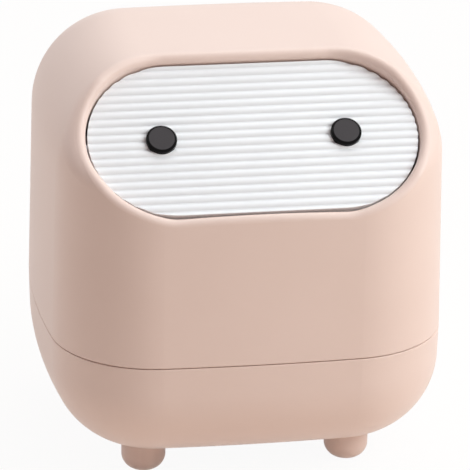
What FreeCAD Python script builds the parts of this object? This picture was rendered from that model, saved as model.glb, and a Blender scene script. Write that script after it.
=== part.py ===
import FreeCAD, Part
import math
import os
import Sketcher
from FreeCAD import Placement, Rotation, Vector

# A desktop trash can: a rounded cube on four pegs, parted in its lower third. The cover lifts off the
# bucket, and a reeded flap swings on two pins in a slanted opening at the front of the cover.
# Millimetres and degrees, +Z up, the front towards -Y, the origin on the desk under the middle.

SIZES = {
    # the rounded cube
    "body_width": 140.0,
    "body_depth": 134.0,
    "body_height": 135.5,
    "front_bulge": 650.0,
    "side_bulge": 310.0,
    "corner_round": 36.0,
    "crown_round": 33.0,
    "base_round": 30.0,
    "draft": 1.2,
    "wall": 3.0,
    # the bucket and the lap joint that carries the cover
    "bowl_height": 40.0,
    "lap_height": 6.0,
    "lap_lip": 1.3,
    "lap_gap": 0.3,
    "seam_gap": 0.3,
    "seam_round": 0.35,
    # the slanted and bowed face with its opening
    "face_slope": 40.0,
    "face_bow": 150.0,
    "face_end": 1.0,
    "face_round": 7.0,
    "lip_foot": 4.55,
    "lip_top": 3.95,
    "lip_round": 2.2,
    "collar_wall": 2.2,
    # the flap
    "flap_side": 13.4,
    "flap_height": 58.1,
    "flap_gap": 0.7,
    "flap_recess": 2.0,
    "flap_plate": 1.8,
    "rib_pitch": 3.05,
    "rib_height": 0.6,
    "rib_groove": 0.5,
    "skirt_wall": 1.8,
    "skirt_depth": 3.8,
    # the pivot
    "pivot_drop": 0.8,
    "pin_diameter": 2.6,
    "pin_press_gap": 0.01,
    "pin_run_gap": 0.05,
    "pin_end_gap": 0.5,
    "pin_chamfer": 0.3,
    "boss_length": 7.0,
    "boss_width": 8.0,
    "collar_boss_diameter": 8.0,
    "collar_boss_length": 1.5,
    # the stop behind the lower half of the flap
    "stop_length": 50.0,
    "stop_reach": 2.2,
    "stop_thickness": 2.0,
    "stop_gap": 0.25,
    # the ballast rod and its clips
    "rod_diameter": 4.0,
    "rod_length": 62.0,
    "rod_offset": 19.0,
    "rod_stand": 0.6,
    "rod_gap": 0.02,
    "rod_chamfer": 0.4,
    "clip_spacing": 40.0,
    "clip_length": 6.0,
    "clip_wall": 1.5,
    "clip_grip": 1.2,
    # the two buttons on the flap
    "eye_spacing": 63.4,
    "eye_diameter": 10.5,
    "eye_height": 2.2,
    "eye_bevel": 0.5,
    "eye_gap": 0.05,
    "eye_stem_diameter": 4.0,
    "eye_stake_diameter": 6.4,
    "eye_stake_height": 1.0,
    # the feet and their sockets
    "foot_height": 10.2,
    "foot_diameter": 15.5,
    "foot_round": 5.5,
    "foot_tuck": 2.0,
    "foot_side": 33.85,
    "foot_front": 32.5,
    "stem_diameter": 6.0,
    "stem_length": 7.0,
    "stem_gap": 0.02,
    "socket_wall": 2.5,
    "socket_room": 0.3,
}

# Sizes that follow from those above. The slanted plane is as long as the flap and the lip need, it ends at
# the level of the top, and its foot and the middle of the flap are placed from there. The bowed face
# stands above that plane by its crest in the middle and comes down to its end height at the opening's ends.
# A cut that has to clear the whole cube reaches four heights of it.
FOLLOWING = {
    "flap_width": "=body_width - 2 * flap_side",
    "opening_end": "=flap_width / 2 + flap_gap",
    "face_rise": "=lip_foot + flap_height / 2",
    "face_length": "=lip_foot + flap_height + lip_top",
    "face_foot": "=body_height - face_length * sin(face_slope * 1deg)",
    "face_crest": "=face_end + face_bow - sqrt(face_bow ^ 2 - opening_end ^ 2)",
    "foot_spacing_x": "=body_width - 2 * foot_side",
    "foot_spacing_y": "=body_depth - 2 * foot_front",
    "cut_reach": "=4 * body_height",
}

doc = FreeCAD.newDocument("desktop_trash_can")
sheet = doc.addObject("Spreadsheet::Sheet", "Sizes")
for row, (size_name, content) in enumerate({**SIZES, **FOLLOWING}.items(), start=1):
    sheet.set(f"A{row}", size_name)
    sheet.set(f"B{row}", str(content))
    sheet.setAlias(f"B{row}", size_name)
doc.recompute()


def size(name):
    """One size as the number it is now."""
    return float(sheet.get(name))


def total(*names):
    """The sum of several sizes as a number."""
    return sum(size(name) for name in names)


def added(*names):
    """The same sum as an expression that a feature is bound to."""
    return "(" + " + ".join(["0"] + [f"Sizes.{name}" for name in names]) + ")"


def bind(item, expressions):
    """Tie properties of an object to the sheet."""
    for path, expression in expressions.items():
        item.setExpression(path, expression)


# Levels and depths that several pieces share. Depths run into the bin, square to the slanted face.
PARTING = added("foot_height", "bowl_height")
COVER_EDGE = added("foot_height", "bowl_height", "seam_gap")
SLOPE = "(Sizes.face_slope * 1deg)"
GROOVE_DEPTH = added("flap_recess", "rib_height")
PIVOT_DEPTH = added("flap_recess", "rib_height", "flap_plate", "pivot_drop")
STOP_DEPTH = added("flap_recess", "rib_height", "flap_plate", "skirt_depth", "stop_gap")
COLLAR_DEPTH = f"({STOP_DEPTH} + Sizes.stop_thickness)"
FLAP_END = "(Sizes.flap_width / 2)"
COLLAR_END = f"({FLAP_END} + {added('flap_gap', 'collar_wall')})"
ROD_HEIGHT = "(Sizes.pivot_drop - Sizes.rod_stand - Sizes.rod_diameter / 2)"

TILT = Rotation(Vector(1, 0, 0), size("face_slope"))
FACE_NORMAL = TILT.multVec(Vector(0, 0, 1))
UP_SLOPE = TILT.multVec(Vector(0, 1, 0))


def on_face(along, depth):
    """The y and z of a point that lies so far up the slanted face and so deep below its plane."""
    y = f"-Sizes.body_depth / 2 + ({along}) * cos({SLOPE}) + ({depth}) * sin({SLOPE})"
    z = f"{added('foot_height', 'face_foot')} + ({along}) * sin({SLOPE}) - ({depth}) * cos({SLOPE})"
    return y, z


def set_on_face(item, path, along, depth):
    """Tilt an object, or a sketch's offset, with the slanted face and move it to a place on it."""
    setattr(item, path, Placement(Vector(), TILT))
    y, z = on_face(along, depth)
    bind(item, {f"{path}.Base.y": y, f"{path}.Base.z": z, f"{path}.Rotation.Angle": "Sizes.face_slope"})


def new_body(name):
    """An empty body with its own origin planes."""
    body = doc.addObject("PartDesign::Body", name)
    body.Label = name
    return body


def origin_item(body, role):
    """One of a body's own origin planes or axes."""
    return next(item for item in body.Origin.OriginFeatures if item.Role == role)


def new_sketch(body, name, role="XY_Plane", level=None):
    """A sketch on an origin plane of its body, raised along the plane's normal where a level is given."""
    sketch = body.newObject("Sketcher::SketchObject", name)
    sketch.AttachmentSupport = (origin_item(body, role), [""])
    sketch.MapMode = "FlatFace"
    if level is not None:
        bind(sketch, {"AttachmentOffset.Base.z": level})
    return sketch


def face_sketch(body, name, depth):
    """A sketch in the slanted plane or below it, centred on the opening."""
    sketch = new_sketch(body, name)
    set_on_face(sketch, "AttachmentOffset", "Sizes.face_rise", depth)
    return sketch


def cross_sketch(body, name):
    """A sketch square to the slope, with X across the bin and Y out of it, centred on the opening."""
    sketch = face_sketch(body, name, "0")
    upright = 90
    bind(sketch, {"AttachmentOffset.Rotation.Angle": f"Sizes.face_slope + {upright}"})
    return sketch


def constrain(sketch, kind, *items):
    """Add one constraint between named places of the geometry."""
    return sketch.addConstraint(Sketcher.Constraint(kind, *items))


def dimension(sketch, kind, *items, tied_to):
    """Add one dimension whose value follows the sheet."""
    index = constrain(sketch, kind, *items)
    sketch.setExpression(f"Constraints[{index}]", tied_to)


# How a constraint names the points of a curve, the two axes and the origin.
START, END, CENTRE = range(1, 4)
X_AXIS, Y_AXIS = range(-1, -3, -1)
ORIGIN = (X_AXIS, START)


def draw_arc(sketch, centre, radius, first, last):
    """An arc from one angle anticlockwise to another."""
    circle = Part.Circle(centre, Vector(0, 0, 1), radius)
    turn = (last - first) % (2 * math.pi)
    return sketch.addGeometry(Part.ArcOfCircle(circle, first, first + turn), False)


def draw_plan(sketch, inset_names):
    """The cube seen from above: four bulged sides joined by corner arcs, set in by the named sizes."""
    inset = total(*inset_names)
    face = size("front_bulge") - inset
    side = size("side_bulge") - inset
    corner = size("corner_round") - inset
    front_y = size("front_bulge") - size("body_depth") / 2
    side_x = size("side_bulge") - size("body_width") / 2
    front_centre = Vector(0, front_y, 0)
    right_centre = Vector(-side_x, 0, 0)
    chord = right_centre - front_centre
    apart = chord.Length
    along = ((face - corner) ** 2 - (side - corner) ** 2 + apart**2) / (2 * apart)
    across = math.sqrt((face - corner) ** 2 - along**2)
    unit = chord / apart
    corner_centre = front_centre + unit * along + Vector(-unit.y, unit.x, 0) * across
    from_front = corner_centre - front_centre
    from_right = corner_centre - right_centre
    low = math.atan2(from_front.y, from_front.x)
    high = math.atan2(from_right.y, from_right.x)
    x, y = corner_centre.x, corner_centre.y
    half_turn = math.pi
    draw_arc(sketch, front_centre, face, -half_turn - low, low)
    draw_arc(sketch, Vector(x, y, 0), corner, low, high)
    draw_arc(sketch, right_centre, side, high, -high)
    draw_arc(sketch, Vector(x, -y, 0), corner, -high, -low)
    draw_arc(sketch, -front_centre, face, -low, half_turn + low)
    draw_arc(sketch, Vector(-x, -y, 0), corner, half_turn + low, half_turn + high)
    draw_arc(sketch, -right_centre, side, half_turn + high, half_turn - high)
    draw_arc(sketch, Vector(-x, y, 0), corner, half_turn - high, half_turn - low)
    front, front_corner, right, rear, left = 0, 1, 2, 4, 6
    arcs = 8
    for arc in range(arcs):
        constrain(sketch, "Tangent", arc, END, (arc + 1) % arcs, START)
    for arc in (front, rear):
        constrain(sketch, "PointOnObject", arc, CENTRE, Y_AXIS)
    for arc in (right, left):
        constrain(sketch, "PointOnObject", arc, CENTRE, X_AXIS)
    constrain(sketch, "Equal", front, rear)
    constrain(sketch, "Equal", right, left)
    for arc in (right, rear, left):
        constrain(sketch, "Equal", front_corner, arc + 1)
    inset_tie = added(*inset_names)
    to_front = "Sizes.front_bulge - Sizes.body_depth / 2"
    to_side = "Sizes.side_bulge - Sizes.body_width / 2"
    dimension(sketch, "Radius", front, face, tied_to=f"Sizes.front_bulge - {inset_tie}")
    dimension(sketch, "Radius", right, side, tied_to=f"Sizes.side_bulge - {inset_tie}")
    dimension(sketch, "Radius", front_corner, corner, tied_to=f"Sizes.corner_round - {inset_tie}")
    dimension(sketch, "DistanceY", *ORIGIN, front, CENTRE, front_y, tied_to=to_front)
    dimension(sketch, "DistanceY", rear, CENTRE, *ORIGIN, front_y, tied_to=to_front)
    dimension(sketch, "DistanceX", right, CENTRE, *ORIGIN, side_x, tied_to=to_side)
    dimension(sketch, "DistanceX", *ORIGIN, left, CENTRE, side_x, tied_to=to_side)


def draw_stadium(sketch, outer_names=(), inner_names=()):
    """The flap's outline, two half circles joined by straight runs, set out or in by the named sizes."""
    radius = size("flap_height") / 2 + total(*outer_names) - total(*inner_names)
    middle = (size("flap_width") - size("flap_height")) / 2
    quarter = math.pi / 2
    right = draw_arc(sketch, Vector(middle, 0, 0), radius, -quarter, quarter)
    left = draw_arc(sketch, Vector(-middle, 0, 0), radius, quarter, 3 * quarter)
    along_top = Part.LineSegment(Vector(middle, radius, 0), Vector(-middle, radius, 0))
    along_base = Part.LineSegment(Vector(-middle, -radius, 0), Vector(middle, -radius, 0))
    top = sketch.addGeometry(along_top, False)
    base = sketch.addGeometry(along_base, False)
    for first, second in ((right, top), (top, left), (left, base), (base, right)):
        constrain(sketch, "Tangent", first, END, second, START)
    for arc in (right, left):
        constrain(sketch, "PointOnObject", arc, CENTRE, X_AXIS)
    constrain(sketch, "Equal", right, left)
    to_centre = "(Sizes.flap_width - Sizes.flap_height) / 2"
    to_edge = f"Sizes.flap_height / 2 + {added(*outer_names)} - {added(*inner_names)}"
    dimension(sketch, "Radius", right, radius, tied_to=to_edge)
    dimension(sketch, "DistanceX", *ORIGIN, right, CENTRE, middle, tied_to=to_centre)
    dimension(sketch, "DistanceX", left, CENTRE, *ORIGIN, middle, tied_to=to_centre)


def draw_box(sketch, corner, opposite, ties):
    """A rectangle between two corners, whose left, bottom, right and top sides are tied to the sheet."""
    left, bottom = corner
    right, top = opposite
    points = [Vector(left, bottom, 0), Vector(right, bottom, 0), Vector(right, top, 0), Vector(left, top, 0)]
    sides = []
    for index, point in enumerate(points):
        following = points[(index + 1) % len(points)]
        sides.append(sketch.addGeometry(Part.LineSegment(point, following), False))
    for index, side in enumerate(sides):
        constrain(sketch, "Coincident", side, END, sides[(index + 1) % len(sides)], START)
        constrain(sketch, "Horizontal" if index % 2 == 0 else "Vertical", side)
    tie_left, tie_bottom, tie_right, tie_top = ties
    dimension(sketch, "DistanceX", *ORIGIN, sides[0], START, left, tied_to=tie_left)
    dimension(sketch, "DistanceY", *ORIGIN, sides[0], START, bottom, tied_to=tie_bottom)
    dimension(sketch, "DistanceX", *ORIGIN, sides[1], END, right, tied_to=tie_right)
    dimension(sketch, "DistanceY", *ORIGIN, sides[1], END, top, tied_to=tie_top)


def draw_field(sketch):
    """A rectangle that reaches past the whole cube on every side."""
    reach = size("cut_reach")
    near, far = "-Sizes.cut_reach", "Sizes.cut_reach"
    draw_box(sketch, (-reach, -reach), (reach, reach), (near, near, far, far))


def draw_bow(sketch, inset_names):
    """All that lies outside the round of the bowed face, which is set in by the named sizes."""
    draw_field(sketch)
    middle = size("face_crest") - size("face_bow")
    radius = size("face_bow") - total(*inset_names)
    ties = ("0", "Sizes.face_crest - Sizes.face_bow", f"Sizes.face_bow - {added(*inset_names)}")
    draw_circle(sketch, (0, middle), radius, ties)


def draw_circle(sketch, centre, radius, ties):
    """A circle whose centre and radius are tied to the sheet."""
    x, y = centre
    circle = sketch.addGeometry(Part.Circle(Vector(x, y, 0), Vector(0, 0, 1), radius), False)
    tie_x, tie_y, tie_radius = ties
    dimension(sketch, "Radius", circle, radius, tied_to=tie_radius)
    dimension(sketch, "DistanceX", *ORIGIN, circle, CENTRE, x, tied_to=tie_x)
    dimension(sketch, "DistanceY", *ORIGIN, circle, CENTRE, y, tied_to=tie_y)


def draw_outline(sketch, points):
    """A closed outline of straight runs; each point gives x, y and the two sizes that they follow."""
    lines = []
    for index, point in enumerate(points):
        following = points[(index + 1) % len(points)]
        ends = Vector(point[0], point[1], 0), Vector(following[0], following[1], 0)
        lines.append(sketch.addGeometry(Part.LineSegment(*ends), False))
    for index, line in enumerate(lines):
        constrain(sketch, "Coincident", line, END, lines[(index + 1) % len(lines)], START)
    for line, (x, y, tie_x, tie_y) in zip(lines, points):
        dimension(sketch, "DistanceX", *ORIGIN, line, START, x, tied_to=tie_x)
        dimension(sketch, "DistanceY", *ORIGIN, line, START, y, tied_to=tie_y)


def extrude(body, kind, sketch, length=None, reverse=False, symmetric=False, taper=None):
    """A pad or a pocket of a sketch; without a length a pocket runs through everything."""
    feature = body.newObject(f"PartDesign::{kind}", f"{sketch.Name}_{kind.lower()}")
    feature.Profile = sketch
    feature.Reversed = reverse
    if symmetric:
        feature.SideType = "Symmetric"
    if length is None:
        feature.Type = "ThroughAll"
    else:
        feature.setExpression("Length", length)
    if taper is not None:
        feature.setExpression("TaperAngle", taper)
    doc.recompute()
    return feature


def round_edges(body, feature, edges, radius):
    """A fillet on the named edges of the feature that was made last."""
    fillet = body.newObject("PartDesign::Fillet", f"{feature.Name}_round")
    fillet.Base = (feature, edges)
    fillet.setExpression("Radius", radius)
    doc.recompute()
    return fillet


def bevel_edges(body, feature, edges, width):
    """A chamfer on the named edges of the feature that was made last."""
    chamfer = body.newObject("PartDesign::Chamfer", f"{feature.Name}_bevel")
    chamfer.Base = (feature, edges)
    chamfer.setExpression("Size", width)
    doc.recompute()
    return chamfer


def level_edges(feature, z):
    """Names of the edges that lie level at this height."""
    near = 1e-4
    names = []
    for index, edge in enumerate(feature.Shape.Edges, start=1):
        box = edge.BoundBox
        if abs(box.ZMin - z) < near and abs(box.ZMax - z) < near:
            names.append(f"Edge{index}")
    return names


# How near two unit directions come to square or to parallel before they are taken as such.
NEARLY = 1e-6


def runs_along(face, direction):
    """Whether a flat or round face is an extrusion in this direction."""
    if isinstance(face.Surface, Part.Plane):
        return abs(face.Surface.Axis.dot(direction)) < NEARLY
    if isinstance(face.Surface, Part.Cylinder):
        return abs(face.Surface.Axis.dot(direction)) > 1 - NEARLY
    return False


def crease_edges(feature):
    """Names of the edges where the bowed face meets the cube."""
    shape = feature.Shape
    bowed = [face for face in shape.Faces
             if isinstance(face.Surface, Part.Cylinder) and runs_along(face, UP_SLOPE)]
    wanted = [edge for face in bowed for edge in face.Edges]
    numbered = enumerate(shape.Edges, start=1)
    return [f"Edge{index}" for index, edge in numbered if any(edge.isSame(item) for item in wanted)]


def rim_edges(feature):
    """Names of the edges where the opening's wall comes out through the outside of the cube."""
    shape = feature.Shape
    names = []
    for index, edge in enumerate(shape.Edges, start=1):
        faces = shape.ancestorsOfType(edge, Part.Face)
        walls = [face for face in faces if runs_along(face, FACE_NORMAL)]
        rest = [face for face in faces if not runs_along(face, FACE_NORMAL)]
        flat = [face for face in rest if isinstance(face.Surface, Part.Plane)]
        floor = [face for face in flat if abs(face.Surface.Axis.dot(FACE_NORMAL)) > 1 - NEARLY]
        if len(walls) == 1 and len(rest) == 1 and not floor:
            names.append(f"Edge{index}")
    return names


def ring_edges(feature):
    """Names of the round edges of a turned or drawn bar that lie in its end faces."""
    names = []
    for index, edge in enumerate(feature.Shape.Edges, start=1):
        if isinstance(edge.Curve, Part.Circle):
            names.append(f"Edge{index}")
    return names


def combine(kind, name, base, *tools):
    """A fuse of several solids, or a cut of one by another."""
    result = doc.addObject(f"Part::{kind}", name)
    result.Label = name
    if kind == "MultiFuse":
        result.Shapes = [base, *tools]
    else:
        result.Base = base
        result.Tool = tools[0]
    doc.recompute()
    return result


def cylinder(name, radius, height, place=None, turn=None):
    """A round bar, standing along Z unless it is turned."""
    bar = doc.addObject("Part::Cylinder", name)
    if turn is not None:
        bar.Placement = Placement(Vector(), turn)
    bind(bar, {"Radius": radius, "Height": height, **(place or {})})
    return bar


SIDES = {"left": -1, "right": 1}


def towards(sign):
    """The turn that lays a bar along X, away from the middle of the bin."""
    return Rotation(Vector(0, 1, 0), 90 * sign)


# The cover's outside: a drafted wall, a round crown, the slanted face with its soft lip and the opening.
def make_shell_form():
    body = new_body("shell_form")
    plan = new_sketch(body, "shell_plan", level=COVER_EDGE)
    draw_plan(plan, ())
    height = "Sizes.body_height - Sizes.bowl_height - Sizes.seam_gap"
    wall = extrude(body, "Pad", plan, height, taper="-Sizes.draft")
    top_edges = level_edges(wall, total("foot_height", "body_height"))
    crown = round_edges(body, wall, top_edges, "Sizes.crown_round")
    seam_edges = level_edges(crown, total("foot_height", "bowl_height", "seam_gap"))
    round_edges(body, crown, seam_edges, "Sizes.seam_round")
    bow = cross_sketch(body, "bow")
    draw_bow(bow, ())
    bowed = extrude(body, "Pocket", bow, "Sizes.cut_reach", symmetric=True)
    round_edges(body, bowed, crease_edges(bowed), "Sizes.face_round")
    opening = face_sketch(body, "opening", f"{COLLAR_DEPTH} + Sizes.wall")
    draw_stadium(opening, outer_names=("flap_gap",))
    mouth = extrude(body, "Pocket", opening, reverse=True)
    round_edges(body, mouth, rim_edges(mouth), "Sizes.lip_round")
    return body


# The cover's hollow, which leaves the collar standing round the opening.
def make_shell_hollow():
    body = new_body("shell_hollow")
    plan = new_sketch(body, "hollow_plan", level=PARTING)
    draw_plan(plan, ("wall",))
    height = "Sizes.body_height - Sizes.bowl_height - Sizes.wall"
    room = extrude(body, "Pad", plan, height, taper="-Sizes.draft")
    ceiling = total("foot_height", "body_height") - size("wall")
    round_edges(body, room, level_edges(room, ceiling), "Sizes.crown_round - Sizes.wall")
    bow = cross_sketch(body, "inner_bow")
    draw_bow(bow, ("wall",))
    extrude(body, "Pocket", bow, "Sizes.cut_reach", symmetric=True)
    collar = face_sketch(body, "collar", COLLAR_DEPTH)
    draw_stadium(collar, outer_names=("flap_gap", "collar_wall"))
    extrude(body, "Pocket", collar, reverse=True)
    return body


# The rebate inside the cover's lower edge. Its ceiling rests on the top of the bucket's spigot, so that the
# cover's outer edge stands clear of the bucket and leaves a fine dark line.
def make_rebate():
    body = new_body("shell_rebate")
    plan = new_sketch(body, "rebate_plan", level=PARTING)
    draw_plan(plan, ("lap_lip",))
    extrude(body, "Pad", plan, "Sizes.lap_height", taper="-Sizes.draft")
    return body


# The ledge across the foot of the collar that the lower half of the flap comes to rest on.
def make_stop():
    ledge = doc.addObject("Part::Box", "flap_stop")
    root = "Sizes.collar_wall / 2"
    foot = f"Sizes.face_rise - Sizes.flap_height / 2 - Sizes.flap_gap - {root}"
    set_on_face(ledge, "Placement", foot, COLLAR_DEPTH)
    bind(ledge, {
        "Length": "Sizes.stop_length",
        "Width": f"Sizes.stop_reach + {root}",
        "Height": "Sizes.stop_thickness",
        "Placement.Base.x": "-Sizes.stop_length / 2",
    })
    return ledge


def on_pivot(x):
    """Places a bar's end on the pivot line at this x."""
    y, z = on_face("Sizes.face_rise", PIVOT_DEPTH)
    return {"Placement.Base.x": x, "Placement.Base.y": y, "Placement.Base.z": z}


# The bosses outside the collar's two ends, and the holes through them that the pins run in.
def make_pivot_supports():
    bosses, holes = [], []
    root = "Sizes.collar_wall / 2"
    for side, sign in SIDES.items():
        boss_radius = "Sizes.collar_boss_diameter / 2"
        boss_place = on_pivot(f"{sign} * ({COLLAR_END} - {root})")
        boss_height = f"Sizes.collar_boss_length + {root}"
        bosses.append(cylinder(f"collar_boss_{side}", boss_radius, boss_height, boss_place, towards(sign)))
        hole_radius = "Sizes.pin_diameter / 2 + Sizes.pin_run_gap"
        hole_height = added("flap_gap", "collar_wall", "collar_boss_length", "pin_end_gap")
        holes.append(cylinder(f"pin_hole_{side}", hole_radius, hole_height, on_pivot(f"{sign} * {FLAP_END}"),
                              towards(sign)))
    return bosses, holes


def make_upper_shell():
    skin = combine("Cut", "shell_skin", make_shell_form(), make_shell_hollow())
    bosses, holes = make_pivot_supports()
    fitted = combine("MultiFuse", "shell_fitted", skin, make_stop(), *bosses)
    cutters = combine("MultiFuse", "shell_cutters", make_rebate(), *holes)
    return combine("Cut", "upper_shell", fitted, cutters)


# The bucket's outside, which also trims the tops of the feet.
def make_bowl_form():
    body = new_body("bowl_form")
    plan = new_sketch(body, "bowl_plan", level=PARTING)
    draw_plan(plan, ())
    block = extrude(body, "Pad", plan, "Sizes.bowl_height", reverse=True, taper="-Sizes.draft")
    base = round_edges(body, block, level_edges(block, size("foot_height")), "Sizes.base_round")
    rim = level_edges(base, total("foot_height", "bowl_height"))
    round_edges(body, base, rim, "Sizes.seam_round")
    return body


# The spigot that stands up inside the cover, rooted in the bucket's wall.
def make_spigot():
    body = new_body("bowl_spigot")
    plan = new_sketch(body, "spigot_plan", level=PARTING)
    draw_plan(plan, ("lap_lip", "lap_gap"))
    extrude(body, "Pad", plan, "Sizes.lap_height", taper="-Sizes.draft")
    return body


# The bucket's hollow, straight-sided so that the bucket draws off its core.
def make_bowl_hollow():
    body = new_body("bowl_hollow")
    plan = new_sketch(body, "bowl_hollow_plan", level=f"{PARTING} + {added('lap_height', 'wall')}")
    draw_plan(plan, ("wall",))
    depth = added("bowl_height", "lap_height")
    room = extrude(body, "Pad", plan, depth, reverse=True)
    floor = level_edges(room, total("foot_height", "wall"))
    round_edges(body, room, floor, "Sizes.base_round - Sizes.wall")
    return body


CORNERS = {
    "front_left": (-1, -1),
    "front_right": (1, -1),
    "rear_left": (-1, 1),
    "rear_right": (1, 1),
}


def at_foot(corner, z):
    """Places something over one of the four feet."""
    sign_x, sign_y = CORNERS[corner]
    return {
        "Placement.Base.x": f"{sign_x} * Sizes.foot_spacing_x / 2",
        "Placement.Base.y": f"{sign_y} * Sizes.foot_spacing_y / 2",
        "Placement.Base.z": z,
    }


def make_base_bowl(form):
    blank = combine("MultiFuse", "bowl_blank", form, make_spigot())
    bucket = combine("Cut", "bowl_skin", blank, make_bowl_hollow())
    sockets, holes = [], []
    for corner in CORNERS:
        socket_radius = "Sizes.stem_diameter / 2 + Sizes.socket_wall"
        socket_height = f"{added('stem_length', 'socket_room')} + Sizes.wall / 2"
        socket_place = at_foot(corner, "Sizes.foot_height + Sizes.wall / 2")
        sockets.append(cylinder(f"socket_{corner}", socket_radius, socket_height, socket_place))
        hole_radius = "Sizes.stem_diameter / 2 + Sizes.stem_gap"
        hole_height = f"{added('stem_length', 'socket_room')} + Sizes.foot_tuck"
        hole_place = at_foot(corner, "Sizes.foot_height - Sizes.foot_tuck")
        holes.append(cylinder(f"socket_hole_{corner}", hole_radius, hole_height, hole_place))
    fitted = combine("MultiFuse", "bowl_fitted", bucket, *sockets)
    return combine("Cut", "base_bowl", fitted, combine("MultiFuse", "socket_holes", *holes))


# One peg: a turned bar with a domed end, trimmed to the bucket's underside, and the stem pressed into it.
def make_foot(corner, bowl_form):
    body = new_body(f"peg_{corner}")
    bind(body, at_foot(corner, "0"))
    profile = new_sketch(body, f"peg_disc_{corner}")
    draw_circle(profile, (0, 0), size("foot_diameter") / 2, ("0", "0", "Sizes.foot_diameter / 2"))
    bar = extrude(body, "Pad", profile, added("foot_height", "foot_tuck"))
    round_edges(body, bar, level_edges(bar, 0), "Sizes.foot_round")
    peg = combine("Cut", f"seated_peg_{corner}", body, bowl_form)
    root = "Sizes.foot_height / 2"
    stem_height = f"Sizes.stem_length + {root}"
    stem_place = at_foot(corner, f"Sizes.foot_height - {root}")
    stem = cylinder(f"stem_{corner}", "Sizes.stem_diameter / 2", stem_height, stem_place)
    return combine("MultiFuse", f"foot_{corner}", peg, stem)


# The flap, drawn flat in its own frame: X along the pivot, Y up the slope, Z out of the bin.
def make_flap():
    body = new_body("flap_panel")
    set_on_face(body, "Placement", "Sizes.face_rise", PIVOT_DEPTH)
    back = "Sizes.pivot_drop"
    groove_floor = added("pivot_drop", "flap_plate")

    plate = new_sketch(body, "plate", level=back)
    draw_stadium(plate)
    extrude(body, "Pad", plate, "Sizes.flap_plate")

    rib = new_sketch(body, "rib", role="YZ_Plane")
    draw_rib(rib)
    reed = extrude(body, "Pad", rib, "Sizes.flap_width", symmetric=True)
    reeds = body.newObject("PartDesign::LinearPattern", "reeds")
    reeds.Originals = [reed]
    reeds.Direction = (origin_item(body, "Y_Axis"), [""])
    reeds.Mode = "Spacing"
    bind(reeds, {"Offset": "Sizes.rib_pitch", "Occurrences": RIB_COUNT})
    body.Tip = reeds
    doc.recompute()

    trim = new_sketch(body, "reed_trim", level=groove_floor)
    draw_field(trim)
    draw_stadium(trim)
    extrude(body, "Pocket", trim, reverse=True)

    skirt = new_sketch(body, "skirt", level=back)
    draw_stadium(skirt)
    draw_stadium(skirt, inner_names=("skirt_wall",))
    extrude(body, "Pad", skirt, "Sizes.skirt_depth", reverse=True)

    add_pivot_bosses(body, back)
    add_rod_clips(body, back)
    add_eye_seats(body, groove_floor)
    return body


# An even number of reeds, so that a groove runs along the middle of the flap.
RIB_COUNT = "2 * ceil(Sizes.flap_height / (2 * Sizes.rib_pitch))"


def draw_rib(sketch):
    """The section of the lowest reed: a shallow arc over a flat foot."""
    count = 2 * math.ceil(size("flap_height") / (2 * size("rib_pitch")))
    middle = -(count - 1) / 2 * size("rib_pitch")
    half = (size("rib_pitch") - size("rib_groove")) / 2
    foot = total("pivot_drop", "flap_plate")
    rise = size("rib_height")
    radius = (half**2 + rise**2) / (2 * rise)
    lean = math.asin(half / radius)
    centre = Vector(middle, foot + rise - radius, 0)
    quarter = math.pi / 2
    arc = draw_arc(sketch, centre, radius, quarter - lean, quarter + lean)
    foot_line = Part.LineSegment(Vector(middle - half, foot, 0), Vector(middle + half, foot, 0))
    line = sketch.addGeometry(foot_line, False)
    constrain(sketch, "Coincident", arc, END, line, START)
    constrain(sketch, "Coincident", line, END, arc, START)
    middle_tie = f"-({RIB_COUNT} - 1) / 2 * Sizes.rib_pitch"
    half_tie = "(Sizes.rib_pitch - Sizes.rib_groove) / 2"
    foot_tie = added("pivot_drop", "flap_plate")
    radius_tie = f"(({half_tie}) ^ 2 + Sizes.rib_height ^ 2) / (2 * Sizes.rib_height)"
    dimension(sketch, "DistanceX", *ORIGIN, line, START, middle - half, tied_to=f"{middle_tie} - {half_tie}")
    dimension(sketch, "DistanceX", *ORIGIN, line, END, middle + half, tied_to=f"{middle_tie} + {half_tie}")
    dimension(sketch, "DistanceY", *ORIGIN, line, START, foot, tied_to=foot_tie)
    dimension(sketch, "DistanceY", *ORIGIN, line, END, foot, tied_to=foot_tie)
    dimension(sketch, "Radius", arc, radius, tied_to=radius_tie)


def mirror_across(body, name, features):
    """Repeats features of the flap's right end at its left end."""
    mirrored = body.newObject("PartDesign::Mirrored", name)
    mirrored.Originals = features
    mirrored.MirrorPlane = (origin_item(body, "YZ_Plane"), [""])
    body.Tip = mirrored
    doc.recompute()


def add_pivot_bosses(body, back):
    """Blocks inside the ends of the skirt, bored for the pins."""
    end = size("flap_width") / 2
    inner = end - size("boss_length")
    outer = end - size("skirt_wall") / 2
    half = size("boss_width") / 2
    ties = (f"{FLAP_END} - Sizes.boss_length", "-Sizes.boss_width / 2",
            f"{FLAP_END} - Sizes.skirt_wall / 2", "Sizes.boss_width / 2")
    block = new_sketch(body, "pivot_block", level=back)
    draw_box(block, (inner, -half), (outer, half), ties)
    boss = extrude(body, "Pad", block, "Sizes.skirt_depth", reverse=True)
    bore = new_sketch(body, "pivot_bore", role="YZ_Plane", level=FLAP_END)
    bore_radius = size("pin_diameter") / 2 + size("pin_press_gap")
    draw_circle(bore, (0, 0), bore_radius, ("0", "0", "Sizes.pin_diameter / 2 + Sizes.pin_press_gap"))
    hole = extrude(body, "Pocket", bore, "Sizes.boss_length")
    mirror_across(body, "pivot_ends", [boss, hole])


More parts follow.
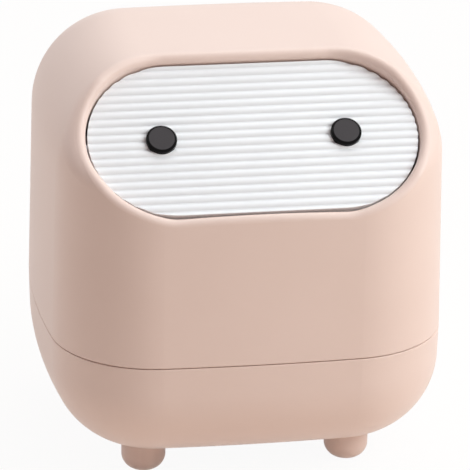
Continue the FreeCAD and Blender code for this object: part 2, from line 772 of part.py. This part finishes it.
def add_rod_clips(body, back):
    """Two open clips on the back of the lower half, which hold the ballast rod."""
    half_length = size("clip_length") / 2
    middle = size("clip_spacing") / 2
    reach = size("rod_diameter") / 2 + size("clip_wall")
    low = -size("rod_offset")
    reach_tie = "(Sizes.rod_diameter / 2 + Sizes.clip_wall)"
    ties = ("Sizes.clip_spacing / 2 - Sizes.clip_length / 2", f"-Sizes.rod_offset - {reach_tie}",
            "Sizes.clip_spacing / 2 + Sizes.clip_length / 2", f"-Sizes.rod_offset + {reach_tie}")
    foot = new_sketch(body, "clip", level=back)
    draw_box(foot, (middle - half_length, low - reach), (middle + half_length, low + reach), ties)
    height = f"{added('rod_stand', 'clip_grip')} + Sizes.rod_diameter / 2"
    clip = extrude(body, "Pad", foot, height, reverse=True)
    mirror_across(body, "clips", [clip])
    seat = new_sketch(body, "rod_seat", role="YZ_Plane")
    rod_z = size("pivot_drop") - size("rod_stand") - size("rod_diameter") / 2
    seat_radius = size("rod_diameter") / 2 + size("rod_gap")
    seat_ties = ("-Sizes.rod_offset", ROD_HEIGHT, "Sizes.rod_diameter / 2 + Sizes.rod_gap")
    draw_circle(seat, (low, rod_z), seat_radius, seat_ties)
    extrude(body, "Pocket", seat, "2 * Sizes.clip_spacing", symmetric=True)


def add_eye_seats(body, groove_floor):
    """Round flats sunk through the reeds for the two buttons, with holes for their stems."""
    middle = size("eye_spacing") / 2
    flats = new_sketch(body, "eye_flat", level=groove_floor)
    stems = new_sketch(body, "eye_hole", level=groove_floor)
    for sign in SIDES.values():
        for sketch, name in ((flats, "eye_diameter"), (stems, "eye_stem_diameter")):
            radius = size(name) / 2 + size("eye_gap")
            ties = (f"{sign} * Sizes.eye_spacing / 2", "0", f"Sizes.{name} / 2 + Sizes.eye_gap")
            draw_circle(sketch, (sign * middle, 0), radius, ties)
    extrude(body, "Pocket", flats, reverse=True)
    extrude(body, "Pocket", stems, "Sizes.flap_plate")


# A bevelled button whose stem passes through the flap and is staked over behind it.
def make_eye(side):
    body = new_body(f"eye_{side}")
    set_on_face(body, "Placement", "Sizes.face_rise", GROOVE_DEPTH)
    bind(body, {"Placement.Base.x": f"{SIDES[side]} * Sizes.eye_spacing / 2"})
    face = size("eye_diameter") / 2
    stem = size("eye_stem_diameter") / 2
    stake = size("eye_stake_diameter") / 2
    bevel = size("eye_bevel")
    top = size("eye_height")
    plate = -size("flap_plate")
    tail = plate - size("eye_stake_height")
    face_tie = "Sizes.eye_diameter / 2"
    stem_tie = "Sizes.eye_stem_diameter / 2"
    stake_tie = "Sizes.eye_stake_diameter / 2"
    plate_tie = "-Sizes.flap_plate"
    tail_tie = "-Sizes.flap_plate - Sizes.eye_stake_height"
    profile = new_sketch(body, f"eye_section_{side}", role="XZ_Plane")
    draw_outline(profile, [
        (0, tail, "0", tail_tie),
        (stake, tail, stake_tie, tail_tie),
        (stake, plate, stake_tie, plate_tie),
        (stem, plate, stem_tie, plate_tie),
        (stem, 0, stem_tie, "0"),
        (face, 0, face_tie, "0"),
        (face, top - bevel, face_tie, "Sizes.eye_height - Sizes.eye_bevel"),
        (face - bevel, top, f"{face_tie} - Sizes.eye_bevel", "Sizes.eye_height"),
        (0, top, "0", "Sizes.eye_height"),
    ])
    turned = body.newObject("PartDesign::Revolution", f"eye_turned_{side}")
    turned.Profile = profile
    turned.ReferenceAxis = (profile, ["V_Axis"])
    doc.recompute()
    return body


def make_bar(name, diameter, length, chamfer):
    """A straight pin along its own Z with bevelled ends."""
    body = new_body(name)
    disc = new_sketch(body, f"{name}_disc")
    draw_circle(disc, (0, 0), size(diameter) / 2, ("0", "0", f"Sizes.{diameter} / 2"))
    bar = extrude(body, "Pad", disc, length)
    bevel_edges(body, bar, ring_edges(bar), f"Sizes.{chamfer}")
    return body


# A pin pressed into the flap's boss that runs in the collar's hole.
def make_pivot_pin(side):
    length = f"{added('boss_length', 'flap_gap', 'collar_wall', 'collar_boss_length')} - Sizes.pin_end_gap"
    pin = make_bar(f"pivot_pin_{side}", "pin_diameter", length, "pin_chamfer")
    sign = SIDES[side]
    pin.Placement = Placement(Vector(), towards(sign))
    bind(pin, on_pivot(f"{sign} * ({FLAP_END} - Sizes.boss_length)"))
    return pin


# The steel rod that hangs behind the lower half of the flap and swings it shut.
def make_ballast_rod():
    rod = make_bar("ballast_rod", "rod_diameter", "Sizes.rod_length", "rod_chamfer")
    rod.Placement = Placement(Vector(), towards(1))
    y, z = on_face("Sizes.face_rise - Sizes.rod_offset", f"{PIVOT_DEPTH} - {ROD_HEIGHT}")
    bind(rod, {"Placement.Base.x": "-Sizes.rod_length / 2", "Placement.Base.y": y, "Placement.Base.z": z})
    return rod


bowl_form = make_bowl_form()
pieces = [make_upper_shell(), make_base_bowl(bowl_form)]
pieces += [make_foot(corner, bowl_form) for corner in CORNERS]
pieces += [make_flap()]
pieces += [make_eye(side) for side in SIDES]
pieces += [make_pivot_pin(side) for side in SIDES]
pieces += [make_ballast_rod()]
doc.recompute()

for item in doc.Objects:
    if "Invalid" in item.State or "Error" in item.State:
        raise RuntimeError(f"{item.Label} did not build: {item.State}")
for piece in pieces:
    if piece.Shape.isNull() or not piece.Shape.isValid() or len(piece.Shape.Solids) != 1:
        raise RuntimeError(f"{piece.Label} is not one valid solid")

os.makedirs("parts", exist_ok=True)
for piece in pieces:
    piece.Shape.exportStep(f"parts/{piece.Label}.step")
    print(f"{piece.Label}: {piece.Shape.Volume / 1000:.2f} cm3")
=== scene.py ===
import math

import bpy
import numpy as np
from mathutils import Matrix, Vector

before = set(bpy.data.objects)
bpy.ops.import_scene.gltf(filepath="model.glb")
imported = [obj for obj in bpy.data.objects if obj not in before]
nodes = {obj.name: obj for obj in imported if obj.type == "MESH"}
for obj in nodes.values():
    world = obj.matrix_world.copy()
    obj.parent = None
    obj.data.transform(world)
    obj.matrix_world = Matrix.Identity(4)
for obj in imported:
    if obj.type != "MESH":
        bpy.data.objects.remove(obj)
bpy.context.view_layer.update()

# The bucket: the lower third of the rounded cube, with the spigot that carries the cover. It is injection
# moulded in blush pink ABS, in a tool whose fine spark grain leaves the plastic matte.
MILLIMETRE = 0.001
ABS_IOR = 1.54

# The colour sockets of a mix node, which shares their names with its number and vector sockets.
MIX_FIRST, MIX_SECOND, MIX_RESULT = 6, 7, 2


def linear(colour):
    """An sRGB hex colour as linear red, green and blue with full opacity."""
    shares = np.array([int(colour[i:i + 2], 16) for i in (1, 3, 5)]) / 255
    light = np.where(shares <= 0.04045, shares / 12.92, ((shares + 0.055) / 1.055) ** 2.4)
    return (*light.tolist(), 1.0)


def add_node(tree, kind, settings=None, links=None):
    """Adds one shader node. Settings go to its sockets, by name or number, or else to its properties."""
    node = tree.nodes.new(kind)
    for name, value in (settings or {}).items():
        if isinstance(name, int) or name in node.inputs:
            node.inputs[name].default_value = value
        else:
            setattr(node, name, value)
    for name, output in (links or {}).items():
        tree.links.new(output, node.inputs[name])
    return node


def new_material(name):
    """An empty node material and its tree."""
    material = bpy.data.materials.new(name)
    material.use_nodes = True
    material.node_tree.nodes.clear()
    return material, material.node_tree


def paint(node_name, material):
    """Gives a carried-over node the finished material."""
    slots = nodes[node_name].data.materials
    slots.clear()
    slots.append(material)


def moulded_plastic(name, colour, deep_colour, grain_depth):
    """Moulded ABS. Faint clouds of the melt's flow lie in it, 40 mm across, and the tool's spark grain makes
    it matte. The grain is 0.12 mm on the real wall and drawn 0.5 mm wide so that it shows. It scatters the
    light that comes in at a slant, and this sheen pales the edges of the form."""
    cloud_size = 40 * MILLIMETRE
    grain_size = 0.5 * MILLIMETRE
    roughness = 0.45
    roughness_spread = 0.06
    material, tree = new_material(name)
    place = add_node(tree, "ShaderNodeTexCoord").outputs["Object"]
    cloud = add_node(tree, "ShaderNodeTexNoise", {"Scale": 1 / cloud_size, "Detail": 3.0},
                     {"Vector": place}).outputs["Fac"]
    grain = add_node(tree, "ShaderNodeTexNoise", {"Scale": 1 / grain_size, "Detail": 4.0},
                     {"Vector": place}).outputs["Fac"]
    colours = add_node(tree, "ShaderNodeMix", {
        "data_type": "RGBA",
        MIX_FIRST: linear(deep_colour),
        MIX_SECOND: linear(colour),
    }, {"Factor": cloud})
    gloss = add_node(tree, "ShaderNodeMapRange", {
        "To Min": roughness - roughness_spread,
        "To Max": roughness + roughness_spread,
    }, {"Value": grain})
    bump = add_node(tree, "ShaderNodeBump", {"Strength": 0.35, "Distance": grain_depth}, {"Height": grain})
    shader = add_node(tree, "ShaderNodeBsdfPrincipled", {
        "IOR": ABS_IOR,
        "Sheen Weight": 0.2,
        "Sheen Roughness": 0.4,
    }, {
        "Base Color": colours.outputs[MIX_RESULT],
        "Roughness": gloss.outputs["Result"],
        "Normal": bump.outputs["Normal"],
    })
    add_node(tree, "ShaderNodeOutputMaterial", links={"Surface": shader.outputs["BSDF"]})
    return material


blush_abs = moulded_plastic("blush_abs_spark_grained", "#EBD3C9", "#E6CDC2", grain_depth=0.03 * MILLIMETRE)
paint("base_bowl", blush_abs)

# The pegs: four short bars with domed ends, moulded in the same pink ABS, whose stems press up into
# sockets in the bucket's floor.
for corner in ("front_left", "front_right", "rear_left", "rear_right"):
    paint(f"foot_{corner}", blush_abs)

# The cover: the upper two thirds of the cube with the soft lip, the collar and the stop round its slanted
# opening. One moulding of pink ABS that drops over the bucket's spigot.
paint("upper_shell", blush_abs)

# The flap: a reeded panel of white ABS with a skirt, bosses for its two pins and clips for its weight
# behind. It is moulded in a finer tool, so that its grain is half as deep as that of the pink pieces.
white_abs = moulded_plastic("white_abs_fine_grained", "#F3F4F6", "#EFF0F3", grain_depth=0.015 * MILLIMETRE)
paint("flap_panel", white_abs)

# The two buttons: bevelled discs of black ABS, whose stems go through the flap and are staked over behind
# it. The face has a satin grain, and inside a circle it is painted charcoal grey, a painted reflection of
# the lamps above on the black ABS. Its rim, the bevel and the side are polished and left black.
FLAP_SLOPE = math.radians(40)
ACROSS = np.array([1.0, 0.0, 0.0])
UP_SLOPE = np.array([0.0, math.cos(FLAP_SLOPE), math.sin(FLAP_SLOPE)])
BUTTON_AXIS = np.cross(ACROSS, UP_SLOPE)


def point_on_axis(button):
    """A point on a button's axis: halfway along the reach of its mesh, both across and up the slope."""
    points = np.empty(3 * len(button.data.vertices))
    button.data.vertices.foreach_get("co", points)
    middle = np.zeros(3)
    for direction in (ACROSS, UP_SLOPE):
        reach = points.reshape(-1, 3) @ direction
        middle += direction * (reach.min() + reach.max()) / 2
    return middle


def satin_faced_black_with_painted_light(side):
    """Black ABS that is satin and painted charcoal grey inside a circle on the button's face, the grey being
    a painted reflection of the lamps above. It is polished and black where it lies outside that circle or
    slants away from the axis, and the black band left inside the rim is painted shade for a bevel wider than
    the mesh's. The grain is 0.1 mm on the real face and drawn 0.4 mm wide so that it shows."""
    grain_size = 0.4 * MILLIMETRE
    painted_grey_and_satin_radius = 4.3 * MILLIMETRE
    rim_blend = 0.2 * MILLIMETRE
    slanted_cosine = 0.93
    level_cosine = 0.98
    polished_roughness = 0.14
    satin_roughness = 0.5
    material, tree = new_material(f"black_abs_satin_faced_painted_reflection_{side}")
    place = add_node(tree, "ShaderNodeTexCoord").outputs
    turned = add_node(tree, "ShaderNodeMapping", {
        "vector_type": "TEXTURE",
        "Location": point_on_axis(nodes[f"eye_{side}"]),
        "Rotation": (FLAP_SLOPE, 0.0, 0.0),
    }, {"Vector": place["Object"]})
    flat = add_node(tree, "ShaderNodeVectorMath", {"operation": "MULTIPLY", 1: (1.0, 1.0, 0.0)},
                    {0: turned.outputs["Vector"]})
    radius = add_node(tree, "ShaderNodeVectorMath", {"operation": "LENGTH"}, {0: flat.outputs["Vector"]})
    # Painted shade: the grey stops short of the rim, leaving a black band where a wider bevel would lie in
    # shade.
    inside = add_node(tree, "ShaderNodeMapRange", {
        "From Min": painted_grey_and_satin_radius,
        "From Max": painted_grey_and_satin_radius + rim_blend,
        "To Min": 1.0,
        "To Max": 0.0,
    }, {"Value": radius.outputs["Value"]})
    along = add_node(tree, "ShaderNodeVectorMath", {"operation": "DOT_PRODUCT", 1: BUTTON_AXIS},
                     {0: place["Normal"]})
    level = add_node(tree, "ShaderNodeMapRange", {
        "From Min": slanted_cosine,
        "From Max": level_cosine,
    }, {"Value": along.outputs["Value"]})
    satin_and_painted_reflection_mask = add_node(tree, "ShaderNodeMath", {"operation": "MULTIPLY"}, {
        0: level.outputs["Result"],
        1: inside.outputs["Result"],
    }).outputs["Value"]
    grain = add_node(tree, "ShaderNodeTexNoise", {"Scale": 1 / grain_size, "Detail": 4.0},
                     {"Vector": place["Object"]}).outputs["Fac"]
    # Painted reflection: the face's charcoal grey stands for the lamps' light reflected off the black ABS.
    painted_reflection_grey = add_node(tree, "ShaderNodeMix", {
        "data_type": "RGBA",
        MIX_FIRST: linear("#454244"),
        MIX_SECOND: linear("#4D4A4C"),
    }, {"Factor": grain})
    colours = add_node(tree, "ShaderNodeMix", {"data_type": "RGBA", MIX_FIRST: linear("#0D0C0D")}, {
        "Factor": satin_and_painted_reflection_mask,
        MIX_SECOND: painted_reflection_grey.outputs[MIX_RESULT],
    })
    gloss = add_node(tree, "ShaderNodeMapRange", {
        "To Min": polished_roughness,
        "To Max": satin_roughness,
    }, {"Value": satin_and_painted_reflection_mask})
    bump = add_node(tree, "ShaderNodeBump", {"Distance": 0.01 * MILLIMETRE},
                    {"Strength": satin_and_painted_reflection_mask, "Height": grain})
    shader = add_node(tree, "ShaderNodeBsdfPrincipled", {"IOR": ABS_IOR, "Specular IOR Level": 0.06}, {
        "Base Color": colours.outputs[MIX_RESULT],
        "Roughness": gloss.outputs["Result"],
        "Normal": bump.outputs["Normal"],
    })
    add_node(tree, "ShaderNodeOutputMaterial", links={"Surface": shader.outputs["BSDF"]})
    return material


for side in ("left", "right"):
    paint(f"eye_{side}", satin_faced_black_with_painted_light(side))

# The two pins and the rod that closes the flap: lengths of drawn bright steel wire, bevelled at their ends.
# They lie along X, and so do the fine lines that the die leaves on them.
DIE_LINE_GAP = 0.15 * MILLIMETRE
DIE_LINE_STRETCH = 50


def drawn_steel():
    """Bright drawn steel, whose die lines spread its reflections a little. They are finer on the real wire,
    and drawn DIE_LINE_GAP apart so that they show."""
    material, tree = new_material("bright_drawn_steel")
    place = add_node(tree, "ShaderNodeTexCoord").outputs["Object"]
    along = add_node(tree, "ShaderNodeMapping", {"Scale": (1 / DIE_LINE_STRETCH, 1.0, 1.0)},
                     {"Vector": place})
    lines = add_node(tree, "ShaderNodeTexNoise", {"Scale": 1 / DIE_LINE_GAP, "Detail": 2.0},
                     {"Vector": along.outputs["Vector"]})
    gloss = add_node(tree, "ShaderNodeMapRange", {"To Min": 0.22, "To Max": 0.38},
                     {"Value": lines.outputs["Fac"]})
    shader = add_node(tree, "ShaderNodeBsdfPrincipled", {"Base Color": linear("#C3C4C6"), "Metallic": 1.0},
                      {"Roughness": gloss.outputs["Result"]})
    add_node(tree, "ShaderNodeOutputMaterial", links={"Surface": shader.outputs["BSDF"]})
    return material


steel = drawn_steel()
for name in ("pivot_pin_left", "pivot_pin_right", "ballast_rod"):
    paint(name, steel)

# The stage: a flat sheet of warm white paper that the camera sees as white, in a room with white walls, and
# three soft boxes round the bin. The room's light is faintly warm and the lamps are faintly cool.
WHITE = linear("#FFFFFF")
WARM_PAPER = linear("#F9ECE0")
WARM_ROOM = linear("#FFE9E9")
COOL_LAMP = linear("#F8FFFF")
FLOOR_REACH = 6.0
FLOOR_GLOW_SHARE = 0.94
ROOM_LIGHT = 0.245
BIN_MIDDLE = Vector((0, 0, 75)) * MILLIMETRE


def seen_directly(tree):
    """1 for what the camera sees, straight or by way of gloss or glass, and 0 for all other light."""
    path = add_node(tree, "ShaderNodeLightPath").outputs
    seen = path["Is Camera Ray"]
    for ray in ("Is Glossy Ray", "Is Transmission Ray"):
        either = add_node(tree, "ShaderNodeMath", {"operation": "MAXIMUM"}, {0: seen, 1: path[ray]})
        seen = either.outputs["Value"]
    return seen


def white_paper():
    """Matte warm white paper, seen nearly white by the camera and keeping part of the bin's shadow."""
    material, tree = new_material("matte_white_paper")
    matte = add_node(tree, "ShaderNodeBsdfDiffuse", {"Color": WARM_PAPER})
    glow = add_node(tree, "ShaderNodeEmission", {"Color": WHITE, "Strength": 1.0})
    share = add_node(tree, "ShaderNodeMath", {"operation": "MULTIPLY", 1: FLOOR_GLOW_SHARE},
                     {0: seen_directly(tree)})
    mixed = add_node(tree, "ShaderNodeMixShader", links={
        0: share.outputs["Value"],
        1: matte.outputs["BSDF"],
        2: glow.outputs["Emission"],
    })
    add_node(tree, "ShaderNodeOutputMaterial", links={"Surface": mixed.outputs["Shader"]})
    return material


def make_floor():
    """A flat square, FLOOR_REACH to each side, level with the lower ends of the pegs."""
    corners = np.array([[-1, -1, 0], [1, -1, 0], [1, 1, 0], [-1, 1, 0]]) * FLOOR_REACH
    mesh = bpy.data.meshes.new("floor")
    mesh.from_pydata(corners.tolist(), [], [(0, 1, 2, 3)])
    mesh.materials.append(white_paper())
    floor = bpy.data.objects.new("floor", mesh)
    bpy.context.scene.collection.objects.link(floor)
    return floor


def make_room():
    """White walls for the camera, which light the bin at a lower level."""
    world = bpy.data.worlds.new("white_studio")
    world.use_nodes = True
    tree = world.node_tree
    tree.nodes.clear()
    around = add_node(tree, "ShaderNodeBackground", {"Color": WARM_ROOM, "Strength": ROOM_LIGHT})
    backdrop = add_node(tree, "ShaderNodeBackground", {"Color": WHITE, "Strength": 1.0})
    mixed = add_node(tree, "ShaderNodeMixShader", links={
        0: seen_directly(tree),
        1: around.outputs["Background"],
        2: backdrop.outputs["Background"],
    })
    add_node(tree, "ShaderNodeOutputWorld", links={"Surface": mixed.outputs["Shader"]})
    return world


def look_from(azimuth, elevation):
    """The unit direction from the bin towards a viewer or lamp, in degrees round from the front and up."""
    turn = math.radians(azimuth)
    rise = math.radians(elevation)
    return Vector((math.sin(turn) * math.cos(rise), -math.cos(turn) * math.cos(rise), math.sin(rise)))


def add_softbox(name, azimuth, elevation, distance, width, power):
    """A square lamp that faces the middle of the bin."""
    lamp = bpy.data.lights.new(name, "AREA")
    lamp.size = width
    lamp.energy = power
    lamp.color = COOL_LAMP[:3]
    box = bpy.data.objects.new(name, lamp)
    direction = look_from(azimuth, elevation)
    box.location = BIN_MIDDLE + direction * distance
    box.rotation_mode = "QUATERNION"
    box.rotation_quaternion = direction.to_track_quat("Z", "Y")
    bpy.context.scene.collection.objects.link(box)


make_floor()
bpy.context.scene.world = make_room()
add_softbox("overhead", azimuth=150, elevation=65, distance=1.1, width=1.0, power=6.0)
add_softbox("key", azimuth=60, elevation=40, distance=1.2, width=0.8, power=11.2)
add_softbox("rim", azimuth=-120, elevation=25, distance=1.2, width=0.8, power=3.1)

# The camera: its place, its angles in degrees and its lens were fitted to the outline, the parting line and
# the reeds of the photograph.
CAMERA_AIM = Vector((0.85, -3.03, 72.93)) * MILLIMETRE
CAMERA_DISTANCE = 1202.04 * MILLIMETRE
CAMERA_AZIMUTH = -10.37
CAMERA_ELEVATION = 21.29
CAMERA_ROLL = 1.04
CAMERA_LENS = 260.5

lens = bpy.data.cameras.new("photo_camera")
lens.lens = CAMERA_LENS
lens.clip_start = 0.05
lens.clip_end = 50.0
camera = bpy.data.objects.new("photo_camera", lens)
bpy.context.scene.collection.objects.link(camera)
back = look_from(CAMERA_AZIMUTH, CAMERA_ELEVATION)
level = Vector((0, 0, 1)).cross(back).normalized()
right = Matrix.Rotation(math.radians(CAMERA_ROLL), 3, back) @ level
turned = Matrix((right, back.cross(right), back)).transposed()
camera.matrix_world = Matrix.Translation(CAMERA_AIM + back * CAMERA_DISTANCE) @ turned.to_4x4()
bpy.context.scene.camera = camera
bpy.context.scene.view_settings.view_transform = "Standard"
